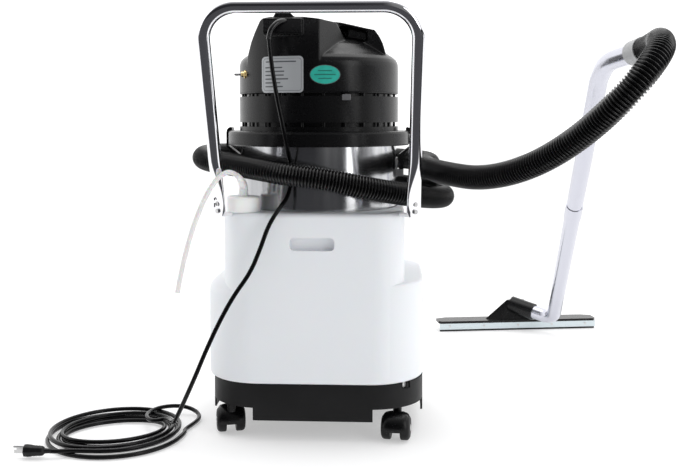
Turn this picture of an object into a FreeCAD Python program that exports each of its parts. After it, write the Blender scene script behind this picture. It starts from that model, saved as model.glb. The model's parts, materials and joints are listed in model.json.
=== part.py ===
import FreeCAD, Part
import os
from math import acos, cos, pi, radians, sin, sqrt, tan

# Wet spot extractor: a vacuum head clipped on a steel recovery drum, which stands on a moulded
# solution tank and a rolling base, with a push handle, hose, floor wand and mains lead.
# Millimetres, +Z up, floor at z = 0. The machine's back, with the push handle, faces -Y.
# Shapes are made about the machine's own centre line, and write() moves them to the part's frame,
# whose origin is the middle of the whole object's footprint.

V = FreeCAD.Vector
MACHINE_X, MACHINE_Y = -274.0, -295.0

# Solution tank: a tall block with a lower shoulder each side.
TANK_BACK = 195.0
SHOULDER_HALF, SHOULDER_CORNER, SHOULDER_TOP = 220.5, 112.0, 314.0
BLOCK_HALF, BLOCK_CORNER, BLOCK_TOP = 181.0, 60.0, 454.0
LEFT_FILLET, RIGHT_FILLET, BLOCK_FILLET, FOOT_FILLET = 26.0, 6.0, 9.0, 7.0
TANK_WALL = 4.0
WELL_R, WELL_FLOOR = 166.5, 436.0
GRIP_Z, GRIP_WIDTH, GRIP_HEIGHT, GRIP_DEPTH = 393.5, 88.0, 26.0, 18.0

# Rolling base.
BASE_TOP, BASE_WALL_BOTTOM, BASE_SKIRT_BOTTOM, BASE_SIDE_BOTTOM = 115.0, 66.0, 41.0, 38.0
BASE_HALF, BASE_CORNER, BASE_BACK, BASE_WALL = 216.0, 108.0, 190.0, 4.0
BASE_SHIFT = 4.0
SKIRT_HALF, SIDE_SKIRT_HALF = 119.0, 96.0

# Twin-wheel casters.
CASTER_X, CASTER_Y = 168.0, 147.0
WHEEL_R, WHEEL_WIDTH, WHEEL_INNER = 25.0, 19.0, 9.5
CASTER_TRAIL, AXLE_R, STEM_R, FIT = 18.0, 4.0, 5.5, 0.05
HOOD_TOP, BOSS_BOTTOM, STEM_TOP = 59.5, 62.5, 104.0
CASTER_TURNS = {"rl": 14.0, "rr": 172.0, "fl": 30.0, "fr": -25.0}

# Filler cap and solution pick-up.
CAP_X, CAP_Y, CAP_R, CAP_TOP = -139.5, -155.0, 33.5, 485.0
SLEEVE_R, SLEEVE_TOP, PICKUP_R, PICKUP_FOOT = 9.5, 498.0, 4.8, 135.0

# Recovery drum and vacuum head.
DRUM_R, DRUM_WALL, DRUM_TOP = 165.0, 1.5, 592.0
FLANGE_R, FLANGE_BOTTOM, FLANGE_TOP, LID_TOP, LID_RIM_INNER = 192.0, 583.0, 613.0, 622.0, 172.0
HEAD_R, RING_BOTTOM, RING_TOP, COVER_BOTTOM = 168.0, 631.0, 683.5, 689.0
DOME_EDGE, DOME_TOP, COVER_WALL = 748.0, 800.0, 3.0
SUCTION_R, BALL_R, CAGE_R, CAGE_BOTTOM = 25.0, 30.0, 36.0, 505.0
INLET_X, INLET_Z, INLET_Y = -75.0, 490.0, 215.0

# Side clips: pivot radius and height from the centre line, half width and pin. Their hooks and
# the lid's edge meet on a 45 degree slope, where radius + height is CLIP_SLOPE.
CLIP_PIVOT_R, CLIP_PIVOT_Z, CLIP_HALF, CLIP_PIN_R = 174.0, 524.0, 14.0, 2.5
CLIP_SLOPE = 796.7

# Drain fitting under the tank's back corner.
DRAIN_X, DRAIN_Y, DRAIN_Z, DRAIN_TURN = 171.0, -148.0, 109.0, -41.0

# Push handle.
HANDLE_R, HANDLE_CORNER, HANDLE_SHIFT = 12.5, 64.0, 8.0
HANDLE_FOOT, HANDLE_TOP = V(190, -192, 470), V(196, -338, 838)
TAB_R, TAB_THICK, TAB_Z = 19.0, 6.0, 466.0

# Hose, tubes and cord.
HOSE_R, WAND_R, WAND_WALL, CORD_R = 23.0, 19.5, 1.2, 3.75

HOSE_ROUTE = [
    (15, 215, 490), (105, 215, 489), (192, 166, 486), (250, 80, 480), (272, -22, 474),
    (228, -115, 480), (140, -182, 497), (38, -212, 520), (-64, -202, 534), (-150, -146, 545),
    (-232, -88, 553), (-252, 8, 560), (-216, 110, 560), (-142, 196, 556), (-46, 240, 552),
    (58, 242, 549), (154, 198, 547), (221, 112, 545), (240, 8, 543), (216, -92, 541),
    (258, -186, 533), (322, -266, 527), (396, -352, 550), (472, -432, 606), (548, -492, 700),
    (614, -452, 792), (634, -352, 795), (648, -262, 778), (632, -195, 770),
]
CORD_ROUTE = [
    (-93, -197, 788.4), (-91, -202, 758), (-83, -208, 722), (-74, -213, 680), (-63, -212, 640),
    (-55, -205, 604), (-48, -192, 572), (-44, -169, 545), (-42, -169, 513), (-50, -184, 482),
    (-66, -206, 462), (-86, -216, 432), (-102, -226, 392), (-124, -236, 344), (-156, -244, 300),
    (-184, -250, 246), (-206, -252, 194), (-226, -250, 144), (-248, -244, 94), (-268, -222, 50),
    (-282, -180, 30),
]
INTAKE_ROUTE = [
    (-139.5, -155, 498.2), (-139.5, -158, 506), (-140.5, -169, 513), (-142, -187, 522),
    (-147, -208, 532), (-158, -229, 538), (-172, -244, 530), (-185, -251, 513),
    (-196.5, -254, 493), (-207, -254.5, 470), (-219, -253, 441), (-230, -251, 408),
    (-240, -250, 372), (-248, -249, 338), (-254, -248, 306),
]

# Lead's coil on the floor: an oval ring, its hole, and the plug lying beside it.
COIL_X, COIL_Y, COIL_HALF_X, COIL_HALF_Y, COIL_HEIGHT = -402.5, -168.0, 148.0, 162.0, 30.0
HOLE_X, HOLE_Y, HOLE_HALF_X, HOLE_HALF_Y, HOLE_TURN = -398.0, -172.0, 95.0, 60.0, 30.0
PLUG_BACK, PLUG_FRONT, PLUG_Y, PLUG_Z = -498.0, -536.0, -309.0, 14.0

# Wand: the tube's ends and its joint, then the collar and the floor tool.
WAND_TOP, WAND_JOINT, WAND_FOOT = V(582, -40, 733), V(603.7, 333.3, 425.9), V(631, 795, 47)
COLLAR_FACE, COLLAR_DIR = V(632, -195, 770), V(16, -67, 8)
COLLAR_LENGTH, COLLAR_R = 42.0, 25.0
TOOL_X, TOOL_Y, TOOL_TURN, TOOL_HALF, TOOL_DEPTH = 536.5, 848.5, 9.2, 241.0, 60.0
LIP_TOP, RAIL_BOTTOM, RAIL_TOP, PLATE_TOP = 9.0, 6.0, 24.0, 31.0
WAND_ENTRY = V(524, 862, 74)

nodes = {}


def cylinder(radius, start, direction, length):
    return Part.makeCylinder(radius, length, V(*start), V(*direction))


def box(low, high):
    low, high = V(*low), V(*high)
    size = high - low
    return Part.makeBox(size.x, size.y, size.z, low)


def ring(inner, outer, low, high, x=0.0, y=0.0):
    whole = cylinder(outer, (x, y, low), (0, 0, 1), high - low)
    return whole.cut(cylinder(inner, (x, y, low - 1), (0, 0, 1), high - low + 2))


def revolved(profile):
    """A solid of revolution about Z from (radius, height) corners."""
    corners = [V(r, 0, z) for r, z in profile]
    face = Part.Face(Part.makePolygon(corners + corners[:1]))
    return face.revolve(V(0, 0, 0), V(0, 0, 1), 360)


def rounded_outline(half_x, half_y, radius):
    """A rectangle with round corners, as a closed wire at z = 0."""
    x, y = half_x - radius, half_y - radius
    edges = []
    for sx, sy, turn in ((1, 1, 0), (-1, 1, 90), (-1, -1, 180), (1, -1, 270)):
        start, middle, end = (radians(turn + a) for a in (0, 45, 90))
        points = [V(sx * x + radius * cos(a), sy * y + radius * sin(a), 0)
                  for a in (start, middle, end)]
        edges.append(Part.Arc(*points).toShape())
    lines = [Part.makeLine(edges[i].Vertexes[-1].Point, edges[(i + 1) % 4].Vertexes[0].Point)
             for i in range(4)]
    return Part.Wire([edge for pair in zip(edges, lines) for edge in pair])


def rounded_prism(half_x, half_y, radius, low, high, top_fillet=0.0, bottom_fillet=0.0):
    solid = Part.Face(rounded_outline(half_x, half_y, radius)).extrude(V(0, 0, high - low))
    solid.translate(V(0, 0, low))
    for level, fillet in ((high, top_fillet), (low, bottom_fillet)):
        if fillet:
            rim = [e for e in solid.Edges if abs(e.BoundBox.ZMin - level) < 0.01
                   and abs(e.BoundBox.ZMax - level) < 0.01]
            solid = solid.makeFillet(fillet, rim)
    return solid


def turn_at(points, i):
    """Directions into and out of a route's point, and the angle between them."""
    before = (points[i] - points[i - 1]).normalize()
    after = (points[i + 1] - points[i]).normalize()
    return before, after, acos(max(-1.0, min(1.0, before.dot(after))))


def bent_wire(points, radii):
    """Straight runs joined by tangent arcs, one radius for each inner point."""
    edges, last = [], points[0]
    for i in range(1, len(points) - 1):
        before, after, turn = turn_at(points, i)
        radius = radii[i - 1]
        reach = radius * tan(turn / 2)
        start, end = points[i] - before * reach, points[i] + after * reach
        inward = (after - before).normalize()
        centre = points[i] + inward * (radius / cos(turn / 2))
        middle = centre - inward * radius
        edges.append(Part.LineSegment(last, start).toShape())
        edges.append(Part.Arc(start, middle, end).toShape())
        last = end
    edges.append(Part.LineSegment(last, points[-1]).toShape())
    return Part.Wire(edges)


def pipe(wire, radius):
    first = wire.Edges[0]
    start = first.valueAt(first.FirstParameter)
    section = Part.Wire(Part.makeCircle(radius, start, first.tangentAt(first.FirstParameter)))
    return wire.makePipeShell([section], True, False)


def bent_tube(points, radii, outer, inner):
    wire = bent_wire(points, radii)
    return pipe(wire, outer).cut(pipe(wire, inner))


def cord(name, route, radius):
    """A cord's solid: every arc is as large as its two runs allow."""
    points = [V(*p) for p in route]
    radii = []
    for i in range(1, len(points) - 1):
        shorter = min((points[i] - points[i - 1]).Length, (points[i + 1] - points[i]).Length)
        radii.append(0.45 * shorter / tan(turn_at(points, i)[2] / 2))
    wire = bent_wire(points, radii)
    solid = pipe(wire, radius)
    print(name, "length", round(wire.Length), "radii", [round(r) for r in radii],
          "volume ratio", round(solid.Volume / (pi * radius ** 2 * wire.Length), 4))
    return solid


def placed(shape, turn, x, y, z=0.0):
    """A copy turned about Z, in degrees, and then moved."""
    shape = shape.copy()
    shape.rotate(V(0, 0, 0), V(0, 0, 1), turn)
    shape.translate(V(x, y, z))
    return shape


def curved_plate(radius, thickness, outline, low, high):
    """A thin plate lying on the back of a vertical cylinder, cut out by a prism along Y."""
    shell = ring(radius, radius + thickness, low - 2, high + 2)
    return shell.common(outline)


def make_base():
    outer = rounded_prism(BASE_HALF, BASE_BACK, BASE_CORNER, BASE_SKIRT_BOTTOM, BASE_TOP)
    inner = rounded_prism(BASE_HALF - BASE_WALL, BASE_BACK - BASE_WALL, BASE_CORNER - BASE_WALL,
                          BASE_SKIRT_BOTTOM - 1, BASE_TOP - BASE_WALL)
    tray = outer.cut(inner)
    tray.translate(V(BASE_SHIFT, 0, 0))
    for sx in (-1, 1):
        for sy in (-1, 1):
            xs = sorted((sx * SKIRT_HALF, sx * 300))
            ys = sorted((sy * SIDE_SKIRT_HALF, sy * 300))
            tray = tray.cut(box((xs[0], ys[0], 0), (xs[1], ys[1], BASE_WALL_BOTTOM)))
        xs = sorted((sx * SKIRT_HALF, sx * 300))
        tray = tray.cut(box((xs[0], -150, 0), (xs[1], 150, BASE_SIDE_BOTTOM)))
    for sx in (-1, 1):
        for sy in (-1, 1):
            x, y = sx * CASTER_X, sy * CASTER_Y
            boss = cylinder(13, (x, y, BOSS_BOTTOM), (0, 0, 1), BASE_TOP - 2 - BOSS_BOTTOM)
            tray = tray.fuse(boss)
            tray = tray.cut(cylinder(STEM_R + FIT, (x, y, 60), (0, 0, 1), STEM_TOP + 1 - 60))
    notch = placed(box((-9, -10, DRAIN_Z - 7), (30, 10, BASE_TOP + 1)), DRAIN_TURN, DRAIN_X, DRAIN_Y)
    nodes["base_tray"] = tray.cut(notch).removeSplitter()

    away = V(DRAIN_X, DRAIN_Y, 0).normalize()
    stub = cylinder(5, (DRAIN_X, DRAIN_Y, DRAIN_Z), (0, 0, 1), BASE_TOP - DRAIN_Z)
    head = cylinder(4.5, (DRAIN_X, DRAIN_Y, DRAIN_Z), away, 11)
    head = head.fuse(cylinder(6, V(DRAIN_X, DRAIN_Y, DRAIN_Z) + away * 8, away, 5))
    nodes["drain_fitting"] = stub.fuse(head).removeSplitter()


def tank_form(inset):
    """The tank's outer form, or its inside when set in by the wall: two shoulders and a block."""
    parts = []
    for sx, fillet in ((-1, LEFT_FILLET), (1, RIGHT_FILLET)):
        whole = rounded_prism(SHOULDER_HALF - inset, TANK_BACK - inset, SHOULDER_CORNER - inset,
                              BASE_TOP + inset, SHOULDER_TOP - inset,
                              top_fillet=fillet - inset, bottom_fillet=FOOT_FILLET - inset)
        low, high = sorted((0, sx * 300))
        parts.append(whole.common(box((low, -300, 0), (high, 300, 600))))
    block = rounded_prism(BLOCK_HALF - inset, TANK_BACK - inset, BLOCK_CORNER - inset,
                          BASE_TOP + 10, BLOCK_TOP - inset, top_fillet=BLOCK_FILLET - inset)
    return block.fuse(parts).removeSplitter()


def make_solution_tank():
    body = tank_form(0.0)
    body = body.cut(cylinder(WELL_R, (0, 0, WELL_FLOOR), (0, 0, 1), 50))
    body = body.fuse(ring(21, 25.5, BLOCK_TOP - 6, BLOCK_TOP + 14, CAP_X, CAP_Y))
    grip = rounded_prism(GRIP_WIDTH / 2, GRIP_HEIGHT / 2, 9, 0, GRIP_DEPTH)
    grip.rotate(V(0, 0, 0), V(1, 0, 0), -90)
    grip.translate(V(0, -TANK_BACK, GRIP_Z))
    body = body.cut(grip)

    wall = TANK_WALL
    room = tank_form(wall)
    room = room.cut(cylinder(WELL_R + wall, (0, 0, WELL_FLOOR - wall), (0, 0, 1), 60))
    half_x, half_z = GRIP_WIDTH / 2 + wall, GRIP_HEIGHT / 2 + wall
    room = room.cut(box((-half_x, -TANK_BACK - 1, GRIP_Z - half_z),
                        (half_x, -TANK_BACK + GRIP_DEPTH + wall, GRIP_Z + half_z)))
    neck = cylinder(21, (CAP_X, CAP_Y, BLOCK_TOP - 10), (0, 0, 1), 40)
    nodes["solution_tank"] = body.cut(room).cut(neck)

    cap = cylinder(CAP_R, (CAP_X, CAP_Y, BLOCK_TOP + 0.4), (0, 0, 1), CAP_TOP - BLOCK_TOP - 0.4)
    cap = cap.makeFillet(5, [e for e in cap.Edges if abs(e.BoundBox.ZMin - CAP_TOP) < 0.01])
    cap = cap.cut(cylinder(26.2, (CAP_X, CAP_Y, BLOCK_TOP), (0, 0, 1), 26))
    nodes["fill_cap"] = cap.cut(cylinder(SLEEVE_R + 0.4, (CAP_X, CAP_Y, 450), (0, 0, 1), 60))
    nodes["tube_sleeve"] = ring(PICKUP_R, SLEEVE_R, 440, SLEEVE_TOP, CAP_X, CAP_Y)
    nodes["pickup_tube"] = ring(PICKUP_R - 1.5, PICKUP_R - 0.01, PICKUP_FOOT, SLEEVE_TOP - 10, CAP_X, CAP_Y)
    strainer = cylinder(12, (CAP_X, CAP_Y, BASE_TOP + 6), (0, 0, 1), 30)
    nodes["pickup_strainer"] = strainer.cut(
        cylinder(PICKUP_R, (CAP_X, CAP_Y, PICKUP_FOOT), (0, 0, 1), 20))


def make_caster(name, x, y, turn):
    """Offset twin-wheel caster: made trailing towards +Y, then turned about its stem."""
    axle_z, half = WHEEL_R, WHEEL_INNER + WHEEL_WIDTH
    hood = rounded_prism(half, WHEEL_R + 4, 12, 17, HOOD_TOP, top_fillet=11)
    hood = hood.cut(box((-half - 1, WHEEL_R - 3, 0), (half + 1, 60, 40)))
    for side in (-1, 1):
        low = min(side * (WHEEL_INNER - 1), side * (half + 1))
        hood = hood.cut(cylinder(WHEEL_R + 1, (low, 0, axle_z), (1, 0, 0), WHEEL_WIDTH + 2))
    hood = hood.cut(box((-WHEEL_INNER, -60, 0), (WHEEL_INNER, 60, axle_z - AXLE_R)))
    stem = cylinder(STEM_R, (0, -CASTER_TRAIL, 50), (0, 0, 1), STEM_TOP - 50)
    collar = cylinder(9, (0, -CASTER_TRAIL, 56), (0, 0, 1), BOSS_BOTTOM - 0.5 - 56)
    wheels_room = cylinder(WHEEL_R + 1, (WHEEL_INNER - 1, 0, axle_z), (1, 0, 0), WHEEL_WIDTH + 2)
    other_room = wheels_room.mirror(V(0, 0, 0), V(1, 0, 0))
    stem = stem.fuse(collar).cut(wheels_room).cut(other_room)
    axle = cylinder(AXLE_R, (-half + 2, 0, axle_z), (1, 0, 0), 2 * half - 4)
    body = hood.fuse([stem, axle]).removeSplitter()
    nodes[f"caster_{name}_body"] = placed(placed(body, 0, 0, CASTER_TRAIL), turn, x, y)
    for side, label in ((-1, "left"), (1, "right")):
        inner = side * (WHEEL_INNER + 0.5)
        wheel = cylinder(WHEEL_R, (inner, 0, axle_z), (side, 0, 0), WHEEL_WIDTH - 1)
        wheel = wheel.makeFillet(2.5, [e for e in wheel.Edges if e.Length > 100
                                       and e.BoundBox.XLength < 0.01])
        wheel = wheel.cut(cylinder(AXLE_R + FIT, (inner - side, 0, axle_z), (side, 0, 0), 30))
        dish = cylinder(17, (side * (half - 3), 0, axle_z), (side, 0, 0), 10)
        wheel = wheel.cut(dish)
        hub = cylinder(8, (side * (half - 4), 0, axle_z), (side, 0, 0), 3)
        hub = hub.cut(cylinder(AXLE_R + FIT, (side * (half - 5), 0, axle_z), (side, 0, 0), 8))
        wheel = wheel.fuse(hub).removeSplitter()
        nodes[f"caster_{name}_wheel_{label}"] = placed(placed(wheel, 0, 0, CASTER_TRAIL), turn, x, y)


def make_drum():
    inner = DRUM_R - DRUM_WALL
    drum = revolved([(0, WELL_FLOOR), (DRUM_R - 4, WELL_FLOOR), (DRUM_R, WELL_FLOOR + 4),
                     (DRUM_R, DRUM_TOP - 6), (DRUM_R + 2.5, DRUM_TOP - 5), (DRUM_R + 2.5, DRUM_TOP),
                     (inner, DRUM_TOP), (inner, WELL_FLOOR + 5), (inner - 4, WELL_FLOOR + DRUM_WALL),
                     (0, WELL_FLOOR + DRUM_WALL)])
    drum = drum.cut(cylinder(22, (INLET_X, 100, INLET_Z), (0, 1, 0), 100))
    nodes["recovery_drum"] = drum

    wall_y = sqrt(DRUM_R ** 2 - INLET_X ** 2)
    port = cylinder(29, (INLET_X, wall_y - 14, INLET_Z), (0, 1, 0), 24)
    port = port.cut(cylinder(DRUM_R, (0, 0, 300), (0, 0, 1), 400))
    port = port.fuse(cylinder(21.9, (INLET_X, wall_y - 30, INLET_Z), (0, 1, 0), 40))
    nodes["hose_port"] = port.cut(cylinder(18, (INLET_X, 0, INLET_Z), (0, 1, 0), 300))

    elbow = cylinder(26, (INLET_X, wall_y + 10, INLET_Z), (0, 1, 0), INLET_Y + 26 - wall_y - 10)
    elbow = elbow.fuse(cylinder(26, (INLET_X, INLET_Y, INLET_Z), (1, 0, 0), 52))
    bore = cylinder(18, (INLET_X, 0, INLET_Z), (0, 1, 0), INLET_Y + 15)
    elbow = elbow.cut(bore).cut(cylinder(18, (INLET_X, INLET_Y, INLET_Z), (1, 0, 0), 80))
    nodes["inlet_elbow"] = elbow.removeSplitter()
    cuff = cylinder(27.5, (INLET_X + 52.3, INLET_Y, INLET_Z), (1, 0, 0), 37.4)
    nodes["hose_cuff"] = cuff.cut(cylinder(19, (INLET_X, INLET_Y, INLET_Z), (1, 0, 0), 120))


def make_clips():
    """Rocking clips at the drum's two sides that hook over the head's flange."""
    slope = CLIP_SLOPE + 0.8
    profile = [(170.5, 519), (170.5, 563), (193.2, 581), (193.2, slope - 193.2),
               (184.5, slope - 184.5), (184.8, 619), (188.5, 620.5), (193, 618.5), (196, 614.5),
               (197.2, 609), (197.2, 579), (180, 562), (180, 516), (177, 513)]
    corners = [V(r, -CLIP_HALF, z) for r, z in profile]
    clip = Part.Face(Part.makePolygon(corners + corners[:1])).extrude(V(0, 2 * CLIP_HALF, 0))
    pivot = (CLIP_PIVOT_R, -CLIP_HALF, CLIP_PIVOT_Z)
    clip = clip.fuse(cylinder(5, pivot, (0, 1, 0), 2 * CLIP_HALF))
    clip = clip.cut(cylinder(CLIP_PIN_R + FIT, pivot, (0, 1, 0), 2 * CLIP_HALF)).removeSplitter()
    ear = CLIP_HALF + 0.6
    plate = box((150, -ear - 3, 515), (DRUM_R + 2, ear + 3, 556))
    bracket = plate.cut(cylinder(DRUM_R, (0, 0, 400), (0, 0, 1), 300))
    for side in (-1, 1):
        low, high = sorted((side * ear, side * (ear + 3)))
        bracket = bracket.fuse(box((DRUM_R + 1, low, 517), (180, high, 531)))
        bracket = bracket.fuse(cylinder(3, (DRUM_R + 1.5, side * 8, 547), (1, 0, 0), 1.7))
    pin = cylinder(CLIP_PIN_R, (CLIP_PIVOT_R, -ear - 3, CLIP_PIVOT_Z), (0, 1, 0), 2 * ear + 6)
    bracket = bracket.fuse(pin).removeSplitter()
    nodes["clip_right"] = clip
    nodes["clip_left"] = placed(clip, 180, 0, 0)
    nodes["clip_brackets"] = Part.makeCompound([bracket, placed(bracket, 180, 0, 0)])


def make_lid():
    lid = revolved([
        (SUCTION_R, 600), (LID_RIM_INNER, 600), (LID_RIM_INNER, FLANGE_BOTTOM),
        (FLANGE_R - 2, FLANGE_BOTTOM), (FLANGE_R, FLANGE_BOTTOM + 2), (FLANGE_R, FLANGE_TOP - 5),
        (FLANGE_R - 1.5, FLANGE_TOP - 1.5), (FLANGE_R - 5, FLANGE_TOP), (HEAD_R, FLANGE_TOP),
        (HEAD_R, LID_TOP), (SUCTION_R, LID_TOP)])
    corners = [(CLIP_SLOPE - 614, 614), (194, CLIP_SLOPE - 194), (194, 614)]
    corners = [V(r, -CLIP_HALF - 1.5, z) for r, z in corners]
    slope = Part.Face(Part.makePolygon(corners + corners[:1]))
    slope = slope.extrude(V(0, 2 * CLIP_HALF + 3, 0))
    nodes["head_lid"] = lid.cut(slope).cut(placed(slope, 180, 0, 0))
    nodes["head_gasket"] = ring(158, LID_RIM_INNER, DRUM_TOP + 0.3, 600)

    cage = ring(CAGE_R - 3, CAGE_R, CAGE_BOTTOM, 600).fuse(
        ring(8, CAGE_R, CAGE_BOTTOM, CAGE_BOTTOM + 3))
    for i in range(6):
        window = box((0, -9, CAGE_BOTTOM + 12), (60, 9, 588))
        cage = cage.cut(placed(window, 60 * i, 0, 0))
    nodes["float_cage"] = cage
    nodes["float_ball"] = Part.makeSphere(BALL_R, V(0, 0, CAGE_BOTTOM + 3.5 + BALL_R))

    middle = ring(152, 155, LID_TOP, COVER_BOTTOM).fuse(ring(154, HEAD_R - 2, 655, 658))
    middle = middle.fuse(ring(HEAD_R - COVER_WALL, HEAD_R, RING_BOTTOM, RING_TOP))
    posts = []
    for i in range(24):
        angle = 2 * pi * (i + 0.5) / 24
        x, y = 160.5 * cos(angle), 160.5 * sin(angle)
        for low, high in ((LID_TOP, RING_BOTTOM + 4), (RING_TOP - 4, COVER_BOTTOM)):
            posts.append(cylinder(3, (x, y, low), (0, 0, 1), high - low))
        posts.append(placed(box((154, -1.5, RING_BOTTOM), (HEAD_R - 2, 1.5, RING_TOP)),
                            360 * (i + 0.5) / 24, 0, 0))
    nodes["head_vent_ring"] = middle.fuse(posts).removeSplitter()


def cover_body(inset, bottom):
    """The head's outer form: a drum with a domed top, a tall back tower and a lower right one."""
    r, top = HEAD_R - inset, DOME_TOP - inset
    dome = revolved([(0, bottom), (r, bottom), (r, DOME_EDGE - 4), (r - 3, DOME_EDGE + 6 - inset),
                     (r - 14, DOME_EDGE + 20 - inset), (r - 34, DOME_EDGE + 32 - inset),
                     (r - 66, top - 10), (70, top - 2), (0, top)])
    left_edge = [(-148, 740), (-147, 762), (-140, 792), (-129, 816), (-112, 836), (-36, 846),
                 (0, 844), (0, 740)]
    right_edge = [(-2, 740), (-2, 844), (38, 838), (114, 822), (126, 806), (137, 777), (146, 740)]
    left = tower(left_edge, inset, -170, 150, r)
    right = tower(right_edge, inset, -62, 150, r - 6)
    return dome.fuse([left, right]).removeSplitter()


def tower(edge, inset, back, front, radius):
    """A prism along Y with the given X-Z outline, kept inside the head's circle."""
    middle = sum(x for x, z in edge) / len(edge)
    corners = [V(x + (inset if x < middle else -inset), back + inset, z - inset if z > 741 else z)
               for x, z in edge]
    prism = Part.Face(Part.makePolygon(corners + corners[:1])).extrude(
        V(0, front - back - 2 * inset, 0))
    return prism.common(cylinder(radius, (0, 0, 700), (0, 0, 1), 200))


def make_cover():
    cover = cover_body(0.0, COVER_BOTTOM).cut(cover_body(COVER_WALL, COVER_BOTTOM - 1))
    grip = box((52, -100, 806), (100, 60, 816))
    cover = cover.cut(grip)
    for x in (-34, 34):
        cover = cover.cut(box((x - 13.2, 140, 699.8), (x + 13.2, 180, 736.2)))
    nodes["head_cover"] = cover

    gland = Part.Wire([Part.Arc(V(-74, -158, 828), V(-86, -186, 818), V(-93, -196, 790)).toShape()])
    nodes["cord_relief"] = pipe(gland, 6.0)

    hood = box((-108, -160, 802), (-30, -100, 836))
    profile = [(-104, 836), (-90, 850), (-52, 850), (-36, 836)]
    corners = [V(x, -157, z) for x, z in profile]
    cap = Part.Face(Part.makePolygon(corners + corners[:1])).extrude(V(0, 50, 0))
    hood = hood.fuse(cap).cut(cover_body(0.0, COVER_BOTTOM)).cut(nodes["cord_relief"])
    nodes["cord_hood"] = hood.removeSplitter()

    outline = rounded_prism(43, 35, 7, 0, 200)
    outline.rotate(V(0, 0, 0), V(1, 0, 0), 90)
    outline.translate(V(-70, 0, 726))
    nodes["rating_plate"] = curved_plate(HEAD_R, 1.0, outline, 680, 780)
    oval = Part.Face(Part.Wire(Part.Ellipse(V(0, 0, 0), 30, 19.5).toShape())).extrude(V(0, 0, 200))
    oval.rotate(V(0, 0, 0), V(1, 0, 0), 90)
    oval.translate(V(19, 0, 722))
    nodes["oval_label"] = curved_plate(HEAD_R, 0.8, oval, 680, 780)

    start = (-140, -84, 727)
    outlet = cylinder(11, start, (-1, 0, 0), 9).fuse(cylinder(8, start, (-1, 0, 0), 17))
    outlet = outlet.fuse(cylinder(4, start, (-1, 0, 0), 37))
    outlet = outlet.cut(cylinder(2.2, (-100, -84, 727), (-1, 0, 0), 100))
    nodes["solution_outlet"] = outlet.cut(cover_body(0.0, COVER_BOTTOM)).removeSplitter()

    for name, x in (("switch_vacuum", -34), ("switch_pump", 34)):
        nodes[name] = rocker(x)
    frames = []
    for x in (-34, 34):
        frame = box((x - 13, 148, 700), (x + 13, 168, 736))
        frame = frame.cut(box((x - 10.5, 152, 703), (x + 10.5, 180, 733)))
        frame = frame.cut(cylinder(2.05, (x - 12, 160, 718), (1, 0, 0), 24))
        frames.append(frame)
    nodes["switch_frames"] = Part.makeCompound(frames)


def rocker(x):
    """A rocker key with a dished face, tipped to its off side, on a cross pin."""
    profile = [(157, 707), (165, 705.5), (163.5, 718), (165, 730.5), (157, 729)]
    corners = [V(x - 9.5, y, z) for y, z in profile]
    key = Part.Face(Part.makePolygon(corners + corners[:1])).extrude(V(19, 0, 0))
    key = key.fuse(cylinder(2.0, (x - 11.8, 160, 718), (1, 0, 0), 23.6)).removeSplitter()
    key.rotate(V(x, 160, 718), V(1, 0, 0), 9)
    return key


def make_inside():
    """Vacuum motor, its fan and the solution pump, under the head's cover."""
    motor = revolved([(SUCTION_R, LID_TOP), (74, LID_TOP), (74, 672), (50, 680), (50, 738),
                      (20, 744), (4.05, 744), (4.05, 668), (68, 668), (68, 630), (SUCTION_R, 630)])
    nodes["vacuum_motor"] = motor
    fan = cylinder(64, (0, 0, 636), (0, 0, 1), 4).fuse(cylinder(4, (0, 0, 636), (0, 0, 1), 70))
    for i in range(8):
        blade = box((14, -1, 639), (62, 1, 660))
        fan = fan.fuse(placed(blade, 45 * i, 0, 0))
    nodes["motor_fan"] = fan.removeSplitter()
    pump = cylinder(24, (112, -34, 652), (0, 1, 0), 68).fuse(
        box((92, -24, LID_TOP), (132, 24, 650)))
    pump = pump.fuse(cylinder(6, (112, 30, 652), (0, 1, 0), 20)).removeSplitter()
    nodes["solution_pump"] = pump


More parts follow.
